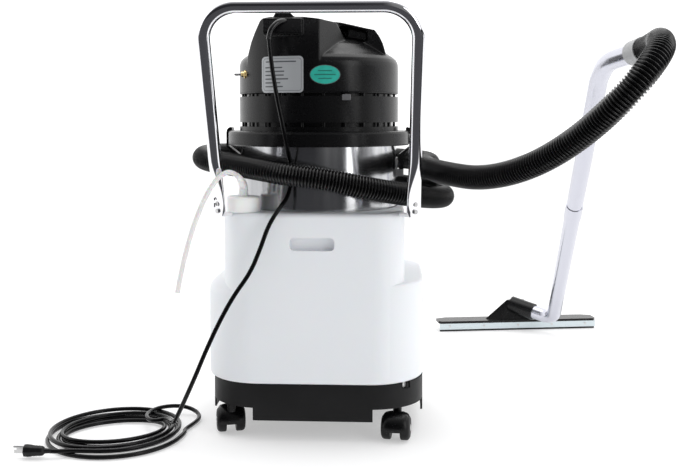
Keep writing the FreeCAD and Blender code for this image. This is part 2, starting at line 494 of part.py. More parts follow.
def make_handle():
    foot, top = HANDLE_FOOT, HANDLE_TOP
    along = (top - foot).normalize()
    start = foot + along * 34
    route = [V(-start.x, start.y, start.z), V(-top.x, top.y, top.z), top, start]
    tube = bent_tube(route, [HANDLE_CORNER, HANDLE_CORNER], HANDLE_R, HANDLE_R - 1.5)

    start, along = V(-start.x, start.y, start.z), V(-along.x, along.y, along.z)
    normal = V(-sin(radians(45)), -cos(radians(45)), 0)
    across = V(normal.y, -normal.x, 0)
    circle = Part.Wire(Part.makeCircle(HANDLE_R, start, along))
    centre = V(-foot.x, foot.y, TAB_Z + 14)
    half = TAB_R - TAB_THICK / 2
    ends = [centre + across * half, centre - across * half]
    slot = []
    for end, other in ((0, 1), (1, 0)):
        tip = (ends[end] - ends[other]).normalize()
        a, b = ends[end] + normal * (TAB_THICK / 2), ends[end] - normal * (TAB_THICK / 2)
        if end:
            a, b = b, a
        slot.append(Part.Arc(b, ends[end] + tip * (TAB_THICK / 2), a).toShape())
    links = [Part.makeLine(slot[0].Vertexes[-1].Point, slot[1].Vertexes[0].Point),
             Part.makeLine(slot[1].Vertexes[-1].Point, slot[0].Vertexes[0].Point)]
    flat = Part.Wire([slot[0], links[0], slot[1], links[1]])
    disc = Part.makeCylinder(TAB_R, TAB_THICK, V(centre.x, centre.y, TAB_Z)
                             - normal * (TAB_THICK / 2), normal)
    cheek = Part.makeBox(2 * TAB_R, TAB_THICK, 14)
    cheek.translate(V(-TAB_R, -TAB_THICK / 2, TAB_Z))
    cheek.rotate(V(0, 0, 0), V(0, 0, 1), -45)
    cheek.translate(V(centre.x, centre.y, 0))
    caps = [Part.makeLoft([circle, flat], True), disc, cheek]
    caps += [cap.mirror(V(0, 0, 0), V(1, 0, 0)) for cap in caps]
    handle = tube.fuse(caps).removeSplitter()
    handle.translate(V(HANDLE_SHIFT, 0, 0))
    nodes["handle_tube"] = handle

    brackets, bolts = [], []
    for sx in (-1, 1):
        turn, x = sx * 45, sx * foot.x + HANDLE_SHIFT
        bracket = box((-9, TAB_THICK / 2, BLOCK_TOP - 6), (9, 30, BLOCK_TOP))
        bracket = bracket.fuse(box((-9, TAB_THICK / 2, BLOCK_TOP - 6), (9, 7, 478)))
        bracket = placed(bracket, turn, x, foot.y)
        brackets.append(bracket.cut(solid_tank_outline()))
        for z in (458.5, 473):
            bolt = cylinder(4.5, (0, -TAB_THICK / 2, z), (0, -1, 0), 3.2)
            bolts.append(placed(bolt, turn, x, foot.y))
    nodes["handle_brackets"] = Part.makeCompound(brackets)
    nodes["handle_bolts"] = Part.makeCompound(bolts)


def solid_tank_outline():
    return rounded_prism(BLOCK_HALF, TANK_BACK, BLOCK_CORNER, BASE_TOP, BLOCK_TOP,
                         top_fillet=BLOCK_FILLET)


def make_wand():
    down = (WAND_JOINT - WAND_TOP).normalize()
    collar = V(COLLAR_DIR).normalize()
    elbow_end = COLLAR_FACE - collar * COLLAR_LENGTH
    upper_route = [WAND_JOINT, WAND_TOP + down * 20, WAND_TOP - down * 40 + V(6, -12, -6), elbow_end]
    nodes["wand_upper_tube"] = bent_tube(upper_route, [120, 110], WAND_R, WAND_R - WAND_WALL)

    foot, entry = WAND_FOOT, WAND_ENTRY
    lower_start = WAND_JOINT + down * 0.5
    lower = bent_tube([lower_start, foot, entry], [46], WAND_R, WAND_R - WAND_WALL)
    sleeve = Part.makeCylinder(WAND_R + 1.6, 52, lower_start, down)
    sleeve = sleeve.cut(Part.makeCylinder(WAND_R - 0.5, 60, lower_start - down, down))
    nodes["wand_lower_tube"] = lower.fuse(sleeve).removeSplitter()

    ring_outer = Part.makeCylinder(COLLAR_R, COLLAR_LENGTH - 1, elbow_end + collar * 0.5, collar)
    nodes["wand_collar"] = ring_outer.cut(
        Part.makeCylinder(WAND_R + 0.5, COLLAR_LENGTH + 20, elbow_end - collar * 10, collar))


def in_tool_frame(shape):
    return placed(shape, TOOL_TURN, TOOL_X, TOOL_Y)


def make_floor_tool():
    """A squeegee head: rubber lips in a silver rail, under a black plate with the tube's socket."""
    half = TOOL_HALF
    corners = [(-half, 10), (-half + 8, 0), (half - 8, 0), (half, 10), (half, TOOL_DEPTH - 12),
               (half - 30, TOOL_DEPTH), (-half + 30, TOOL_DEPTH), (-half, TOOL_DEPTH - 12)]
    plate = Part.Face(Part.makePolygon([V(x, y, RAIL_TOP) for x, y in corners + corners[:1]]))
    plate = plate.extrude(V(0, 0, PLATE_TOP - RAIL_TOP))
    nodes["squeegee_plate"] = in_tool_frame(plate)

    front = box((-half + 2, 1, RAIL_BOTTOM), (half - 2, 6, RAIL_TOP))
    back = box((-half + 14, TOOL_DEPTH - 14, RAIL_BOTTOM), (half - 14, TOOL_DEPTH - 9, RAIL_TOP))
    web = box((-half + 4, 5, RAIL_TOP - 3), (half - 4, TOOL_DEPTH - 12, RAIL_TOP))
    nodes["squeegee_rail"] = in_tool_frame(front.fuse([back, web]).removeSplitter())

    lips = [box((-half + 3, 6, 0), (half - 3, 9, RAIL_TOP - 3)),
            box((-half + 15, TOOL_DEPTH - 17, 0), (half - 15, TOOL_DEPTH - 14, RAIL_TOP - 3))]
    nodes["squeegee_lips"] = in_tool_frame(Part.makeCompound(lips))
    screws = []
    for i in range(5):
        x = (i - 2) * 104.0
        screws.append(cylinder(3.2, (x, 1, (RAIL_BOTTOM + RAIL_TOP) / 2 + 1), (0, -1, 0), 1.6))
    nodes["rail_screws"] = in_tool_frame(Part.makeCompound(screws))

    neck = [V(-92, 30, 0), V(-60, 6, 0), (V(36, 2, 0)), V(52, 30, 0), V(36, 54, 0), V(-60, 50, 0)]
    foot = Part.makePolygon(neck + neck[:1])
    foot.translate(V(0, 0, PLATE_TOP))
    crown = Part.makePolygon([V(-30, 22, 88), V(-14, 12, 88), V(14, 12, 88), V(24, 26, 88),
                              V(14, 38, 88), V(-14, 36, 88), V(-30, 22, 88)])
    housing = in_tool_frame(Part.makeLoft([foot, crown], True, True))
    heading = (WAND_ENTRY - WAND_FOOT).normalize()
    mouth = WAND_ENTRY - heading * 66
    socket = Part.makeCylinder(WAND_R + 4.5, 74, mouth, heading)
    bore = Part.makeCylinder(WAND_R + 0.05, 67, mouth - heading * 0.5, heading)
    top_only = in_tool_frame(box((-120, -80, PLATE_TOP), (120, 120, 130)))
    nodes["tool_socket"] = housing.fuse(socket.common(top_only)).cut(bore).removeSplitter()


def make_cords():
    nodes["vacuum_hose"] = cord("vacuum_hose", HOSE_ROUTE, HOSE_R)
    nodes["power_cord"] = cord("power_cord", CORD_ROUTE, CORD_R)
    nodes["intake_tube"] = cord("intake_tube", INTAKE_ROUTE, PICKUP_R)

    outer = Part.Ellipse(V(COIL_X, COIL_Y, 0), COIL_HALF_Y, COIL_HALF_X).toShape()
    outer.rotate(V(COIL_X, COIL_Y, 0), V(0, 0, 1), 90)
    hole = Part.Ellipse(V(HOLE_X, HOLE_Y, -1), HOLE_HALF_X, HOLE_HALF_Y).toShape()
    hole.rotate(V(HOLE_X, HOLE_Y, 0), V(0, 0, 1), HOLE_TURN)
    coil = Part.Face(Part.Wire(outer)).extrude(V(0, 0, COIL_HEIGHT))
    nodes["power_cord_coil"] = coil.cut(Part.Face(Part.Wire(hole)).extrude(V(0, 0, 60)))

    body = cylinder(11.5, (PLUG_FRONT, PLUG_Y, PLUG_Z), (1, 0, 0), PLUG_BACK - PLUG_FRONT - 12)
    body = body.fuse(cylinder(6, (PLUG_FRONT, PLUG_Y, PLUG_Z), (1, 0, 0), PLUG_BACK - PLUG_FRONT))
    tail = [V(PLUG_BACK, PLUG_Y, PLUG_Z), V(-474, PLUG_Y, PLUG_Z), V(-452, -296, 14), V(-436, -288, 14)]
    body = body.fuse(pipe(bent_wire(tail, [34, 34]), CORD_R))
    nodes["plug_body"] = body.removeSplitter()
    pins = [box((PLUG_FRONT - 17, PLUG_Y + s * 6.35 - 0.75, PLUG_Z - 3.2),
                (PLUG_FRONT, PLUG_Y + s * 6.35 + 0.75, PLUG_Z + 3.2)) for s in (-1, 1)]
    pins.append(cylinder(2.4, (PLUG_FRONT, PLUG_Y, PLUG_Z + 7), (-1, 0, 0), 20))
    nodes["plug_pins"] = Part.makeCompound(pins)


def write(name, shape):
    shape = shape.copy()
    shape.translate(V(MACHINE_X, MACHINE_Y, 0))
    shape.exportStep(f"parts/{name}.step")


def main():
    make_base()
    make_solution_tank()
    for name, sx, sy in (("rl", -1, -1), ("rr", 1, -1), ("fl", -1, 1), ("fr", 1, 1)):
        make_caster(name, sx * CASTER_X, sy * CASTER_Y, CASTER_TURNS[name])
    make_drum()
    make_clips()
    make_lid()
    make_cover()
    make_inside()
    make_handle()
    make_wand()
    make_floor_tool()
    make_cords()
    os.makedirs("parts", exist_ok=True)
    for name, shape in nodes.items():
        write(name, shape)


main()
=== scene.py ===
"""Visual model of a wet spot extractor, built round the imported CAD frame. Metres, +Z up."""
import json
import math

import bmesh
import bpy
from mathutils import Matrix, Vector


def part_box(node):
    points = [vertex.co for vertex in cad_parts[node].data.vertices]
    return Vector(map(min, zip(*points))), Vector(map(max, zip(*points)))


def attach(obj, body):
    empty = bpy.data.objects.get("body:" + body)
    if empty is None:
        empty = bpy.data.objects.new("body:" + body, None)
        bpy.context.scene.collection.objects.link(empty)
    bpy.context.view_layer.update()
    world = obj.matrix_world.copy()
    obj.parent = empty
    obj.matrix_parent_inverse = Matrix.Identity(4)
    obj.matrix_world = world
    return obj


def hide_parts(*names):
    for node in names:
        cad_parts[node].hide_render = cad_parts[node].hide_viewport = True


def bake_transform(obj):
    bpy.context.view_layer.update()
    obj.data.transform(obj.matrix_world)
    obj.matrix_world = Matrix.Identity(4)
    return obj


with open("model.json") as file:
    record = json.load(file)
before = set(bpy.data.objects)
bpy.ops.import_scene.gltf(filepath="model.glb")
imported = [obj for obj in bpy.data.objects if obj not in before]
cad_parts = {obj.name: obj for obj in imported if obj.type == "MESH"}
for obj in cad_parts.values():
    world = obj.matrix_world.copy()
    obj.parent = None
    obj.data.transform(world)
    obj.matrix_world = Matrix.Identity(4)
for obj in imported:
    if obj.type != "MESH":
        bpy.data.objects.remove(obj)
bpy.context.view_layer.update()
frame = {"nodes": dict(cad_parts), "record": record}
NODES = frame["nodes"]
NODE_BODY = {node: body for body, nodes in frame["record"]["behaviour"]["bodies"].items()
             for node in nodes}

# The machine's centre line, in the frame that all pieces share, and a millimetre.
drum_low, drum_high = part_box("recovery_drum")
AXIS = Vector(((drum_low.x + drum_high.x) / 2, (drum_low.y + drum_high.y) / 2, 0))
MM = 0.001


def at(x, y, z):
    """A point given in millimetres from the machine's centre line, in the shared frame."""
    return Vector((x, y, z)) * MM + AXIS


# ---------------------------------------------------------------- camera, floor and light

FOCAL = 1.443299      # in picture widths
SENSOR_WIDTH = 36.0
CAMERA_DISTANCE, CAMERA_HEIGHT = 2.094, 0.6466
CAMERA_TURN, CAMERA_PITCH = math.radians(3.04), math.radians(3.576)
CAMERA_SIDE, SHIFT_Y = 0.0435, -0.09

FLOOR_HALF, FLOOR_DROP = 14.0, 0.0008
# Mirrors see white paper, which turns dark between these distances in front of the axis.
DARK_START, DARK_END = 0.42, 0.58
PAPER, PAPER_GLOW = (0.62, 0.62, 0.62, 1), 0.42
DARK_PAPER, DARK_GLOW = (0.03, 0.03, 0.034, 1), 0.02
LIGHT_TARGET = at(0, 0, 450)
# Each light: its name, its place from the target, its width and height, and its watts.
LIGHTS = [
    ("left", (-2.7, -0.7, 0.9), (0.8, 2.4), 4),
    ("right", (2.36, -1.87, 0.9), (0.95, 2.4), 21),
    ("top", (0.2, 0.5, 2.8), (3.0, 2.4), 34),
]


def make_camera():
    """The camera, turned about the machine's centre line and tilted down a little."""
    data = bpy.data.cameras.new("camera")
    data.sensor_width = SENSOR_WIDTH
    data.lens = FOCAL * SENSOR_WIDTH
    data.shift_y = SHIFT_Y
    camera = bpy.data.objects.new("camera", data)
    bpy.context.scene.collection.objects.link(camera)
    turn = Matrix.Rotation(CAMERA_TURN, 3, "Z")
    camera.location = AXIS + turn @ Vector((CAMERA_SIDE, -CAMERA_DISTANCE, CAMERA_HEIGHT))
    camera.rotation_euler = (math.pi / 2 - CAMERA_PITCH, 0, CAMERA_TURN)
    bpy.context.scene.camera = camera
    bpy.context.scene.view_settings.view_transform = "Standard"


def area_light(name, place, size, power):
    """A rectangular light that faces the target."""
    data = bpy.data.lights.new(name, "AREA")
    data.shape = "RECTANGLE"
    data.size, data.size_y = size
    data.energy = power
    light = bpy.data.objects.new(name, data)
    bpy.context.scene.collection.objects.link(light)
    light.location = place
    light.rotation_euler = (LIGHT_TARGET - place).to_track_quat("-Z", "Y").to_euler()


def make_stage():
    """A floor just under the wheels, the studio's own light and three soft lights."""
    mesh = bpy.data.meshes.new("floor")
    corners = [(-FLOOR_HALF, -FLOOR_HALF, 0), (FLOOR_HALF, -FLOOR_HALF, 0),
               (FLOOR_HALF, FLOOR_HALF, 0), (-FLOOR_HALF, FLOOR_HALF, 0)]
    mesh.from_pydata(corners, [], [(0, 1, 2, 3)])
    mesh.materials.append(floor_material())
    floor = bpy.data.objects.new("floor", mesh)
    bpy.context.scene.collection.objects.link(floor)
    floor.location.z = -FLOOR_DROP
    bpy.context.scene.world = studio_world()
    for name, offset, size, power in LIGHTS:
        area_light(name, LIGHT_TARGET + Vector(offset), size, power)


def floor_material():
    """White paper. A mirror sees it white near the object and dark on the camera's side."""
    material = bpy.data.materials.new("floor")
    material.use_nodes = True
    tree = material.node_tree
    principled = tree.nodes["Principled BSDF"]
    principled.inputs["Roughness"].default_value = 0.9
    principled.inputs["Specular IOR Level"].default_value = 0.1
    principled.inputs["Emission Color"].default_value = (1, 1, 1, 1)

    place = tree.nodes.new("ShaderNodeNewGeometry")
    split = tree.nodes.new("ShaderNodeSeparateXYZ")
    near_side = tree.nodes.new("ShaderNodeMapRange")
    near_side.inputs["From Min"].default_value = AXIS.y - DARK_START
    near_side.inputs["From Max"].default_value = AXIS.y - DARK_END
    tree.links.new(place.outputs["Position"], split.inputs["Vector"])
    tree.links.new(split.outputs["Y"], near_side.inputs["Value"])

    path = tree.nodes.new("ShaderNodeLightPath")
    darkness = tree.nodes.new("ShaderNodeMath")
    darkness.operation = "MULTIPLY"
    tree.links.new(near_side.outputs["Result"], darkness.inputs[0])
    tree.links.new(path.outputs["Is Glossy Ray"], darkness.inputs[1])

    glow = tree.nodes.new("ShaderNodeMapRange")
    glow.inputs["To Min"].default_value = PAPER_GLOW
    glow.inputs["To Max"].default_value = DARK_GLOW
    tree.links.new(darkness.outputs["Value"], glow.inputs["Value"])
    tree.links.new(glow.outputs["Result"], principled.inputs["Emission Strength"])

    mix = tree.nodes.new("ShaderNodeMix")
    mix.data_type = "RGBA"
    mix.inputs["A"].default_value = PAPER
    mix.inputs["B"].default_value = DARK_PAPER
    tree.links.new(darkness.outputs["Value"], mix.inputs["Factor"])
    tree.links.new(mix.outputs["Result"], principled.inputs["Base Color"])
    return material


def studio_world():
    """White light, weaker from the camera's side, where mirrors see a dark room."""
    world = bpy.data.worlds.new("studio")
    world.use_nodes = True
    tree = world.node_tree
    background = tree.nodes["Background"]
    place = tree.nodes.new("ShaderNodeTexCoord")
    split = tree.nodes.new("ShaderNodeSeparateXYZ")
    tree.links.new(place.outputs["Generated"], split.inputs["Vector"])

    def ramp(axis, start, end):
        node = tree.nodes.new("ShaderNodeMapRange")
        node.inputs["From Min"].default_value = start
        node.inputs["From Max"].default_value = end
        tree.links.new(split.outputs[axis], node.inputs["Value"])
        return node.outputs["Result"]

    def times(first, second):
        node = tree.nodes.new("ShaderNodeMath")
        node.operation = "MULTIPLY"
        tree.links.new(first, node.inputs[0])
        tree.links.new(second, node.inputs[1])
        return node.outputs["Value"]

    def blend(factor, first, second):
        node = tree.nodes.new("ShaderNodeMix")
        node.data_type = "RGBA"
        tree.links.new(factor, node.inputs["Factor"])
        for key, colour in (("A", first), ("B", second)):
            if isinstance(colour, tuple):
                node.inputs[key].default_value = (*colour, 1)
            else:
                tree.links.new(colour, node.inputs[key])
        return node.outputs["Result"]

    # White behind the object, greyer in front of it.
    soft = blend(ramp("Y", 0.1, -0.5), (1.4, 1.4, 1.4), (0.4, 0.4, 0.41))

    # Mirrors see a dark room in front, dimly lit on its right side.
    path = tree.nodes.new("ShaderNodeLightPath")
    room = times(ramp("Y", -0.2, -0.5), ramp("Z", 0.92, 0.55))
    mirrored = times(room, path.outputs["Is Glossy Ray"])
    dim = blend(ramp("X", -0.02, 0.25), (0.022, 0.022, 0.025), (0.19, 0.19, 0.19))
    tree.links.new(blend(mirrored, soft, dim), background.inputs["Color"])
    return world


# ---------------------------------------------------------------- materials


class Shader:
    """A node material, with chained calls for the few textures this object needs.

    Each texture is given as the scale, the detail and, if wanted, the stretch of its noise.
    """

    def __init__(self, name, colour, roughness, metallic=0.0, **inputs):
        self.material = bpy.data.materials.new(name)
        self.material.use_nodes = True
        self.tree = self.material.node_tree
        self.principled = self.tree.nodes["Principled BSDF"]
        self.set("Base Color", (*colour, 1))
        self.set("Roughness", roughness)
        self.set("Metallic", metallic)
        for key, value in inputs.items():
            self.set(key.replace("_", " "), value)
        self.colour = colour
        self.normal = None

    def set(self, key, value):
        self.principled.inputs[key].default_value = value

    def node(self, kind, **values):
        node = self.tree.nodes.new(kind)
        for key, value in values.items():
            if key in node.inputs:
                node.inputs[key].default_value = value
            else:
                setattr(node, key, value)
        return node

    def link(self, source, target):
        self.tree.links.new(source, target)

    def noise(self, scale, detail=2.0, stretch=(1, 1, 1)):
        """Noise in the object's own coordinates, stretched along its axes."""
        place = self.node("ShaderNodeTexCoord")
        mapping = self.node("ShaderNodeMapping")
        mapping.inputs["Scale"].default_value = stretch
        texture = self.node("ShaderNodeTexNoise", Scale=scale, Detail=detail)
        self.link(place.outputs["Object"], mapping.inputs["Vector"])
        self.link(mapping.outputs["Vector"], texture.inputs["Vector"])
        return texture.outputs["Fac"]

    def vary_roughness(self, texture, low, high):
        ramp = self.node("ShaderNodeMapRange")
        ramp.inputs["To Min"].default_value = low
        ramp.inputs["To Max"].default_value = high
        self.link(self.noise(*texture), ramp.inputs["Value"])
        self.link(ramp.outputs["Result"], self.principled.inputs["Roughness"])
        return self

    def vary_colour(self, texture, other, amount):
        mix = self.node("ShaderNodeMix", data_type="RGBA")
        mix.inputs["A"].default_value = (*self.colour, 1)
        mix.inputs["B"].default_value = (*other, 1)
        ramp = self.node("ShaderNodeMapRange")
        ramp.inputs["From Min"].default_value = 0.35
        ramp.inputs["From Max"].default_value = 0.65
        ramp.inputs["To Max"].default_value = amount
        self.link(self.noise(*texture), ramp.inputs["Value"])
        self.link(ramp.outputs["Result"], mix.inputs["Factor"])
        self.link(mix.outputs["Result"], self.principled.inputs["Base Color"])
        return self

    def bump(self, texture, strength, distance):
        bump = self.node("ShaderNodeBump", Strength=strength, Distance=distance)
        self.link(self.noise(*texture), bump.inputs["Height"])
        self.link(bump.outputs["Normal"], self.principled.inputs["Normal"])
        return self


def make_shaders():
    """Every finish on the object, by the short name that FINISH and the pieces use."""
    return {
        "gloss": Shader("gloss_black", (0.0032, 0.0032, 0.0036), 0.27, Specular_IOR_Level=0.26)
        .vary_roughness((60, 4), 0.22, 0.33)
        .bump((900, 2), 0.07, 0.0002),

        "grained": Shader("grained_black", (0.005, 0.005, 0.0056), 0.46, Specular_IOR_Level=0.25)
        .vary_roughness((45, 3), 0.42, 0.56)
        .vary_colour((14, 3), (0.009, 0.009, 0.0098), 0.5)
        .bump((1400, 3), 0.35, 0.0002),

        "white": Shader("white_tank", (0.84, 0.845, 0.87), 0.42, Subsurface_Weight=0.08,
                        Subsurface_Scale=0.02)
        .vary_roughness((25, 3), 0.36, 0.5)
        .vary_colour((6, 2), (0.82, 0.828, 0.86), 0.6)
        .bump((220, 3), 0.18, 0.0004),

        "steel": Shader("drum_steel", (0.66, 0.665, 0.68), 0.14, 1.0)
        .vary_roughness((90, 3, (1, 1, 14)), 0.1, 0.2)
        # Wide vertical bands of darker colour round the drum: painted reflection bands.
        .vary_colour((26, 3, (1, 1, 0.03)), (0.36, 0.365, 0.38), 0.75)
        .bump((420, 2, (1, 1, 24)), 0.05, 0.0001),

        "chrome": Shader("chrome", (0.9, 0.9, 0.93), 0.06, 1.0)
        .vary_roughness((35, 3), 0.045, 0.1),

        "zinc": Shader("zinc", (0.6, 0.6, 0.6), 0.3, 1.0)
        .vary_roughness((300, 3), 0.22, 0.42),

        "rail": Shader("rail", (0.62, 0.69, 0.72), 0.3, 1.0)
        .vary_roughness((160, 3, (1, 20, 20)), 0.22, 0.38),

        "brass": Shader("brass", (0.74, 0.56, 0.25), 0.24, 1.0)
        .vary_roughness((260, 3), 0.16, 0.34),

        "rubber": Shader("rubber", (0.004, 0.004, 0.0045), 0.4, Specular_IOR_Level=0.3)
        .vary_roughness((120, 3), 0.34, 0.5)
        .bump((1500, 2), 0.2, 0.0001),

        "lead": Shader("lead", (0.0016, 0.0016, 0.0019), 0.22, Specular_IOR_Level=0.2)
        .vary_roughness((90, 2), 0.17, 0.28)
        .bump((700, 2), 0.1, 0.0001),

        "hose": Shader("hose", (0.0022, 0.0022, 0.0025), 0.2, Specular_IOR_Level=0.5)
        .vary_roughness((70, 3), 0.16, 0.26),

        "tube": Shader("milky_tube", (0.93, 0.93, 0.92), 0.28, Transmission_Weight=0.25,
                       Subsurface_Weight=0.3, Subsurface_Scale=0.004)
        .vary_roughness((60, 2), 0.26, 0.4),

        "label": Shader("silver_label", (0.4, 0.415, 0.43), 0.36, 0.3)
        .vary_roughness((500, 2), 0.3, 0.44),

        "green": Shader("green_label", (0.015, 0.33, 0.26), 0.3)
        .vary_roughness((200, 2), 0.24, 0.38)
        .vary_colour((90, 2), (0.02, 0.42, 0.33), 0.6),

        "shade": Shader("dark_green", (0.01, 0.13, 0.11), 0.34)
        .vary_roughness((200, 2), 0.28, 0.42),

        "red": Shader("switch_red", (0.5, 0.012, 0.01), 0.25)
        .vary_roughness((200, 2), 0.2, 0.34),

        "bright": Shader("bright_tube", (0.6, 0.605, 0.67), 0.22, 0.9)
        .vary_roughness((30, 3), 0.17, 0.27),

        "cuff": Shader("collar_grey", (0.34, 0.345, 0.35), 0.3, 0.2)
        .vary_roughness((80, 3), 0.24, 0.4),

        "cap": Shader("milky_cap", (0.95, 0.945, 0.93), 0.34, Subsurface_Weight=0.3,
                      Subsurface_Scale=0.008)
        .vary_roughness((60, 3), 0.3, 0.44)
        .bump((160, 2), 0.15, 0.0003),

        # Grey for a small block on the dome that stands for a reflection: a painted reflection.
        "grey_reflection": Shader("painted_reflection_grey", (0.12, 0.12, 0.125), 0.4)
        .vary_roughness((200, 2), 0.34, 0.5),

        "ink": Shader("ink", (0.07, 0.075, 0.08), 0.4)
        .vary_roughness((300, 2), 0.34, 0.5),

        # Near black: painted shade for the inside of holes and slots.
        "dark": Shader("painted_hole_shade", (0.004, 0.004, 0.004), 0.8)
        .vary_roughness((100, 2), 0.7, 0.9),
    }


MATERIALS = {key: shader.material for key, shader in make_shaders().items()}

# The finish of each slot in the record, and of the nodes that look different from their slot.
FINISH = {
    "white_polyethylene": "white", "black_plastic": "gloss", "stainless_steel": "steel",
    "chrome": "chrome", "aluminium_rail": "rail", "brass": "brass", "rubber": "rubber",
    "hose_plastic": "hose", "clear_tube": "tube", "silver_label": "label",
    "green_label": "green", "float_plastic": "white", "switch_red": "red",
    "caster_plastic": "gloss", "caster_wheel": "grained",
}
NODE_FINISH = {
    "base_tray": "grained", "handle_brackets": "white", "fill_cap": "cap", "tube_sleeve": "cap",
    "clip_brackets": "zinc", "drain_fitting": "zinc", "handle_bolts": "zinc",
    "rail_screws": "zinc", "plug_pins": "zinc",
    "wand_upper_tube": "bright", "wand_lower_tube": "bright", "wand_collar": "cuff",
}


def paint_nodes():
    slots = {s["node"]: s["material_slot"] for s in frame["record"]["subparts"]}
    for name, node in NODES.items():
        finish = NODE_FINISH.get(name, FINISH[slots[name]])
        node.data.materials.clear()
        node.data.materials.append(MATERIALS[finish])


# ---------------------------------------------------------------- mesh tools


def smooth(obj, angle=40):
    """Smooth shading, with the edges sharper than the angle left sharp."""
    for polygon in obj.data.polygons:
        polygon.use_smooth = True
    obj.data.set_sharp_from_angle(angle=math.radians(angle))


def new_piece(name, mesh, finish, body=None):
    """An object with its finish, riding on a body if one is named."""
    piece = bpy.data.objects.new(name, mesh)
    bpy.context.scene.collection.objects.link(piece)
    mesh.materials.clear()
    mesh.materials.append(MATERIALS[finish])
    if body:
        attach(piece, body)
    return piece


def spline_line(route, steps):
    """Points along the smooth line that has the route as its control points."""
    data = bpy.data.curves.new("route", "CURVE")
    data.dimensions = "3D"
    data.resolution_u = steps
    spline = data.splines.new("NURBS")
    spline.points.add(len(route) - 1)
    for point, place in zip(spline.points, route):
        point.co = (*place, 1)
    spline.order_u = 3
    spline.use_endpoint_u = True
    curve = bpy.data.objects.new("route", data)
    bpy.context.scene.collection.objects.link(curve)
    mesh = bpy.data.meshes.new_from_object(curve)
    line = [v.co.copy() for v in mesh.vertices]
    bpy.data.objects.remove(curve)
    bpy.data.curves.remove(data)
    bpy.data.meshes.remove(mesh)
    return line


def lengths_along(line):
    """How far along the line each of its points is."""
    total, lengths = 0.0, [0.0]
    for before, after in zip(line, line[1:]):
        total += (after - before).length
        lengths.append(total)
    return lengths


def even_line(line, step):
    """The same line with points a fixed distance apart."""
    lengths = lengths_along(line)
    count = max(2, round(lengths[-1] / step))
    points, i = [], 0
    for k in range(count + 1):
        target = lengths[-1] * k / count
        while i < len(line) - 2 and lengths[i + 1] < target:
            i += 1
        span = lengths[i + 1] - lengths[i]
        points.append(line[i].lerp(line[i + 1], (target - lengths[i]) / span if span else 0))
    return points


def frames_along(line):
    """A tangent and two steady normals at each point of a line."""
    tangents = [(line[min(i + 1, len(line) - 1)] - line[max(i - 1, 0)]).normalized()
                for i in range(len(line))]
    side = tangents[0].orthogonal().normalized()
    frames = []
    for tangent in tangents:
        side = (side - tangent * side.dot(tangent)).normalized()
        frames.append((tangent, side, tangent.cross(side)))
    return frames


def skin_mesh(name, rings, start_closed=True, end_closed=True):
    """A skin over rings of points, each with the same number of corners."""
    sides = len(rings[0])
    faces = []
    for i in range(len(rings) - 1):
        for k in range(sides):
            a, b = i * sides + k, i * sides + (k + 1) % sides
            faces.append((a, b, b + sides, a + sides))
    if start_closed:
        faces.append(tuple(range(sides))[::-1])
    if end_closed:
        faces.append(tuple(range((len(rings) - 1) * sides, len(rings) * sides)))
    mesh = bpy.data.meshes.new(name)
    mesh.from_pydata([tuple(corner) for ring in rings for corner in ring], [], faces)
    mesh.update()
    return mesh


def swept_mesh(name, line, radius, sides):
    """A round skin along a line. radius is a number, or a function of the length so far."""
    rings = []
    for point, (_, side, up), length in zip(line, frames_along(line), lengths_along(line)):
        r = radius(length) if callable(radius) else radius
        angles = [2 * math.pi * k / sides for k in range(sides)]
        rings.append([point + (side * math.cos(a) + up * math.sin(a)) * r for a in angles])
    return skin_mesh(name, rings)


def lathe_mesh(name, profile, place, axis=(0, 0, 1), steps=48):
    """A skin of revolution from (radius, distance along the axis) points, in millimetres."""
    rotation = Vector((0, 0, 1)).rotation_difference(Vector(axis).normalized())
    angles = [2 * math.pi * k / steps for k in range(steps)]
    rings = []
    for r, h in profile:
        ring = [Vector((r * MM * math.cos(a), r * MM * math.sin(a), h * MM)) for a in angles]
        rings.append([place + rotation @ corner for corner in ring])
    return skin_mesh(name, rings, profile[0][0] > 0, profile[-1][0] > 0)


def closed_mesh(name, form):
    """The mesh of a bmesh, with its faces turned outwards. The bmesh is freed."""
    bmesh.ops.recalc_face_normals(form, faces=form.faces[:])
    mesh = bpy.data.meshes.new(name)
    form.to_mesh(mesh)
    form.free()
    return mesh


def box_mesh(name, low, high, bevel=0.0):
    """A box between two corners, its edges rounded if a bevel is given."""
    form = bmesh.new()
    bmesh.ops.create_cube(form, size=1.0)
    for vert in form.verts:
        vert.co = [(low[i] + high[i]) / 2 + vert.co[i] * (high[i] - low[i]) for i in range(3)]
    if bevel:
        bmesh.ops.bevel(form, geom=form.edges[:], offset=bevel, segments=3,
                        affect="EDGES", profile=0.5)
    return closed_mesh(name, form)


def prism_mesh(name, outline, low, high, axis="Y"):
    """A closed prism along Y or Z, from an X-Z or X-Y outline in machine millimetres."""
    form = bmesh.new()

    def corner(a, b, level):
        return at(a, level, b) if axis == "Y" else at(a, b, level)

    ends = [[form.verts.new(corner(a, b, level)) for a, b in outline] for level in (low, high)]
    for end in ends:
        form.faces.new(end)
    for i in range(len(outline)):
        j = (i + 1) % len(outline)
        form.faces.new((ends[0][i], ends[0][j], ends[1][j], ends[1][i]))
    return closed_mesh(name, form)


def joined(name, meshes):
    """One mesh of several closed forms, not merged into one skin."""
    form = bmesh.new()
    for mesh in meshes:
        form.from_mesh(mesh)
    return closed_mesh(name, form)


def loose(mesh):
    """An object made only to take part in a boolean, never left in the scene."""
    tool = bpy.data.objects.new(mesh.name, mesh)
    bpy.context.scene.collection.objects.link(tool)
    return tool


def apply_modifiers(obj):
    bpy.context.view_layer.update()
    seen = obj.evaluated_get(bpy.context.evaluated_depsgraph_get())
    mesh = bpy.data.meshes.new_from_object(seen)
    obj.modifiers.clear()
    obj.data = mesh


def boolean(target, mesh, operation):
    """Cuts the target with a closed mesh, or keeps what the two share."""
    tool = loose(mesh)
    step = target.modifiers.new("cut", "BOOLEAN")
    step.operation, step.solver, step.object = operation, "EXACT", tool
    apply_modifiers(target)
    bpy.data.objects.remove(tool)


